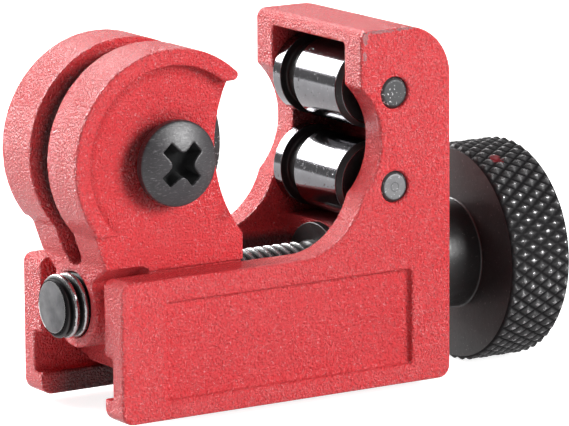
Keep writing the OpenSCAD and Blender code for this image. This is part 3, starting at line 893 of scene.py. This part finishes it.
def make_roller(name, node_name, body, steel, black):
    """A ground roller with its blackened flare groove and ends."""
    low, high = node_box(node_name)
    middle = (low + high) / 2
    radius = (high.z - low.z) / 2
    groove_end = high.y - GROOVE_INSET
    groove_start = groove_end - GROOVE_WIDTH
    outline = filleted([
        (low.y, ROLLER_BORE, 0.15, 1),
        (low.y, radius - NEAR_CHAMFER - EDGE_LINE, 0, 0),
        (low.y, radius - NEAR_CHAMFER, 0.05, 1),
        (low.y + NEAR_CHAMFER, radius, 0.12, 0),
        (groove_start, radius, 0.1, 1),
        (groove_start, radius - GROOVE_DEPTH, 0.25, 1),
        (groove_end, radius - GROOVE_DEPTH, 0.25, 1),
        (groove_end, radius, 0.1, 0),
        (high.y - FAR_CHAMFER, radius, 0.08, 1),
        (high.y, radius - FAR_CHAMFER, 0.08, 1),
        (high.y, ROLLER_BORE, 0.15, 1),
    ])
    roller = lathe(name, "Y", (middle.x, 0, middle.z), outline, ROLLER_SEGMENTS, closed=True)
    finish_piece(roller, body, "ground_steel", [node_name], steel, black)


def make_pin(name, node_name, steel, edge):
    """A plain roller pin with a chamfer at each end."""
    outline = filleted([
        (-PIN_HALF, 0, 0, 0),
        (-PIN_HALF, PIN_RADIUS - PIN_CHAMFER, 0.12, 1),
        (PIN_CHAMFER - PIN_HALF, PIN_RADIUS, 0.1, 1),
        (PIN_HALF - PIN_CHAMFER, PIN_RADIUS, 0.1, 1),
        (PIN_HALF, PIN_RADIUS - PIN_CHAMFER, 0.12, 0),
        (PIN_HALF, 0, 0, 0),
    ])
    middle = node_middle(node_name)
    pin = lathe(name, "Y", (middle.x, 0, middle.z), outline, SCREW_SEGMENTS)
    finish_piece(pin, "frame", "pin_steel", [node_name], steel, edge)


def make_cutter_wheel(black, bevel):
    """The cutter wheel, with its hub and its ground cutting edge."""
    outline = filleted([
        (-WHEEL_HUB_HALF, WHEEL_BORE, 0.1, 0),
        (-WHEEL_HUB_HALF, WHEEL_HUB_RADIUS, 0.12, 0),
        (-WHEEL_HALF, WHEEL_HUB_RADIUS, 0.15, 0),
        (-WHEEL_HALF, WHEEL_BEVEL_RADIUS, 0.1, 1),
        (-WHEEL_EDGE_HALF, WHEEL_RADIUS, 0.02, 1),
        (WHEEL_EDGE_HALF, WHEEL_RADIUS, 0.02, 1),
        (WHEEL_HALF, WHEEL_BEVEL_RADIUS, 0.1, 0),
        (WHEEL_HALF, WHEEL_HUB_RADIUS, 0.15, 0),
        (WHEEL_HUB_HALF, WHEEL_HUB_RADIUS, 0.12, 0),
        (WHEEL_HUB_HALF, WHEEL_BORE, 0.1, 0),
    ])
    origin = (WHEEL.x, 0, WHEEL.z)
    wheel = lathe("hardened_cutter_wheel", "Y", origin, outline, WHEEL_SEGMENTS, closed=True)
    finish_piece(wheel, "wheel", "black_steel", ["cutter_wheel"], black, bevel)


def make_washer(steel):
    """The thrust washer between the knob's hub and the body."""
    outline = filleted([
        (WASHER_START, WASHER_BORE, 0.08, 0),
        (WASHER_START, WASHER_RADIUS, 0.12, 0),
        (WASHER_END, WASHER_RADIUS, 0.12, 0),
        (WASHER_END, WASHER_BORE, 0.08, 0),
    ])
    washer = lathe("thrust_ring", "X", FEED_POINT, outline, closed=True)
    finish_piece(washer, "feed", "pin_steel", ["thrust_washer"], steel)


def make_small_cast(name, node_name, body, slot, voxel, passes, material):
    """A small stamped or rolled piece, made from its CAD solid with its edges broken."""
    piece = cad_copy(name, node_name)
    round_edges(piece, voxel, passes, SMALL_TRIANGLES)
    finish_piece(piece, body, slot, [node_name], material)


# Studio

WORLD_LIGHT = 0.2
WORLD_GLOSS = 0.35
FLOOR_SIZE = 0.55
FLOOR_TONE = 0.6
FLOOR_GLOW = 0.85
FLOOR_GLOSS = 0.4
REAR_RADIANCE = 21.0
RIGHT_RADIANCE = 2.0
MAIN_RADIANCE = 17.3
LEFT_RADIANCE = 1.5
# Name, way from the object, distance, width and height in metres, and brightness of the face
SOFTBOXES = [
    ("rear_softbox", (-0.265, 0.87, 0.46), 0.6, (0.42, 0.27), REAR_RADIANCE),
    ("right_softbox", (0.4, 0.8, 0.44), 0.6, (0.46, 0.3), RIGHT_RADIANCE),
    ("main_softbox", (0.5, -0.8, 0.32), 0.8, (0.36, 0.36), MAIN_RADIANCE),
    ("left_softbox", (-0.78, 0.48, 0.38), 0.7, (0.36, 0.36), LEFT_RADIANCE),
]
LAMP_AIM = (0, 0, 0.017)
LENS = 296.27
CAMERA_BACK = (-0.5268, -0.8270, 0.1962)
CAMERA_PLACE = (-232.319, -365.335, 103.234)
CAMERA_ROLL = -0.352


def seen_directly(tree, path):
    """1 for the camera's own rays, also through glass."""
    return math_node(tree, "MAXIMUM", path.outputs["Is Camera Ray"], path.outputs["Is Transmission Ray"])


def make_floor():
    """A pale floor that glows for the camera and in mirrors, so that its edge is lost in the background."""
    bpy.ops.mesh.primitive_plane_add(size=FLOOR_SIZE)
    floor = bpy.context.object
    floor.name = "floor"
    made = bpy.data.materials.new("pale_floor")
    made.use_nodes = True
    tree = made.node_tree
    tree.nodes.clear()
    path = node(tree, "ShaderNodeLightPath")
    mirrored = product(tree, path.outputs["Is Glossy Ray"], FLOOR_GLOSS)
    glow = math_node(tree, "MAXIMUM", product(tree, seen_directly(tree, path), FLOOR_GLOW), mirrored)
    diffuse = node(tree, "ShaderNodeBsdfDiffuse", {"Color": (FLOOR_TONE, FLOOR_TONE, FLOOR_TONE, 1)})
    emission = node(tree, "ShaderNodeEmission", {"Color": (1, 1, 1, 1), "Strength": glow})
    both = node(tree, "ShaderNodeAddShader", {0: diffuse.outputs[0], 1: emission.outputs[0]})
    output = node(tree, "ShaderNodeOutputMaterial")
    tree.links.new(both.outputs[0], output.inputs["Surface"])
    floor.data.materials.append(made)


def make_world():
    """White behind the object, and a soft light from all round."""
    world = bpy.data.worlds.new("studio")
    bpy.context.scene.world = world
    world.use_nodes = True
    tree = world.node_tree
    tree.nodes.clear()
    path = node(tree, "ShaderNodeLightPath")
    dim = span(tree, path.outputs["Is Glossy Ray"], 0, 1, WORLD_LIGHT, WORLD_GLOSS)
    strength = math_node(tree, "MAXIMUM", dim, seen_directly(tree, path))
    background = node(tree, "ShaderNodeBackground", {"Color": (1, 1, 1, 1), "Strength": strength})
    output = node(tree, "ShaderNodeOutputWorld")
    tree.links.new(background.outputs[0], output.inputs["Surface"])


def make_softbox(name, direction, distance, size, radiance):
    """An area lamp that looks at the object from a direction, hidden from the camera."""
    lamp = bpy.data.lights.new(name, "AREA")
    lamp.shape = "RECTANGLE"
    lamp.size, lamp.size_y = size
    lamp.energy = radiance * math.pi * size[0] * size[1]
    made = bpy.data.objects.new(name, lamp)
    bpy.context.scene.collection.objects.link(made)
    back = Vector(direction).normalized()
    place = Matrix.Translation(Vector(LAMP_AIM) + back * distance)
    made.matrix_world = place @ back.to_track_quat("Z", "Y").to_matrix().to_4x4()
    made.visible_camera = False


def make_camera():
    """The photograph's camera, as it was solved."""
    data = bpy.data.cameras.new("camera")
    data.lens = LENS
    data.sensor_width = 36
    data.clip_start = 0.01
    data.clip_end = 20
    camera = bpy.data.objects.new("camera", data)
    bpy.context.scene.collection.objects.link(camera)
    back = Vector(CAMERA_BACK).normalized()
    right = Vector((0, 0, 1)).cross(back).normalized()
    up = back.cross(right)
    turn = Matrix((right, up, back)).transposed().to_4x4()
    place = Matrix.Translation(Vector(CAMERA_PLACE) * MM)
    camera.matrix_world = place @ turn @ Matrix.Rotation(math.radians(CAMERA_ROLL), 4, "Z")
    bpy.context.scene.camera = camera


# Scene

NEAR_Y, TOP_Z = BODY_LOW.y, BODY_HIGH.z
BODY_CHIPS = [
    ((MOUTH_X + 0.5, NEAR_Y, TOP_Z - 0.8), (0.3, 0.6, 0.7)),
    ((MOUTH_X + 0.45, NEAR_Y, TOP_Z - 2.4), (0.2, 0.5, 0.5)),
    ((MOUTH_X + 2.2, NEAR_Y, TOP_Z - 0.2), (1.6, 0.3, 0.2)),
    ((MOUTH_X + 5.0, NEAR_Y, TOP_Z - 0.15), (1.2, 0.3, 0.15)),
]
KNURL_STAIN = ((GRIP_START + 2.3, -4.3, FEED_Z + 9.6), (0.7, 0.7, 0.6), (0.16, 0.015, 0.02, 1))
# Centre of the painted shadow round the wheel screw's head
SCREW_SHADOW_CENTRE = (WHEEL.x - 0.5, CHEEK_Y, WHEEL.z)

body_red = powder_coat("red_powder_coat_body", inside_body, BODY_CHIPS)
jaw_red = powder_coat("red_powder_coat_jaw", inside_jaw, screw_shadow=SCREW_SHADOW_CENTRE)
black = black_oxide()
black_face = black_oxide("black_turned", 0.014, 0.25)
knurl_black = rubbed_black("black_knurl", KNOB_RADIUS - 0.05, 0.08, (0.42, 0.41, 0.42, 1), [KNURL_STAIN])
thread_black = rubbed_black("black_thread", THREAD_RADIUS - 0.12, 0.06, (0.45, 0.44, 0.45, 1))
steel = ground_steel()
roller_black = black_oxide("roller_black", 0.016, 0.1, roughness=(0.3, 0.5), gloss=0.4)
pin_grey = pin_steel()
pin_dark = pin_steel("pin_dark", 0.07)
pin_ringed = pin_steel("pin_ringed", 0.19, tuple(node_middle("lower_roller_pin")))

make_castings(body_red, jaw_red)
make_knob(knurl_black, black_face)
make_feed_screw(thread_black, black_face, tip_steel())
make_wheel_screw(head_steel())
make_roller("ground_upper_roller", "upper_roller", "upper_roll", steel, roller_black)
make_roller("ground_lower_roller", "lower_roller", "lower_roll", steel, roller_black)
make_pin("riveted_upper_pin", "upper_roller_pin", pin_dark, pin_dark)
make_pin("riveted_lower_pin", "lower_roller_pin", pin_ringed, pin_dark)
make_cutter_wheel(black, pin_dark)
make_washer(pin_grey)
make_small_cast("stamped_clip", "retaining_clip", "feed", "black_steel", CLIP_VOXEL, CLIP_PASSES, black_face)
make_small_cast(
    "rolled_spring_pin", "knob_pin", "feed", "pin_steel", SPRING_PIN_VOXEL, SPRING_PIN_PASSES, pin_grey,
)

make_floor()
make_world()
for softbox in SOFTBOXES:
    make_softbox(*softbox)
make_camera()

scene = bpy.context.scene
scene.view_settings.view_transform = "Standard"
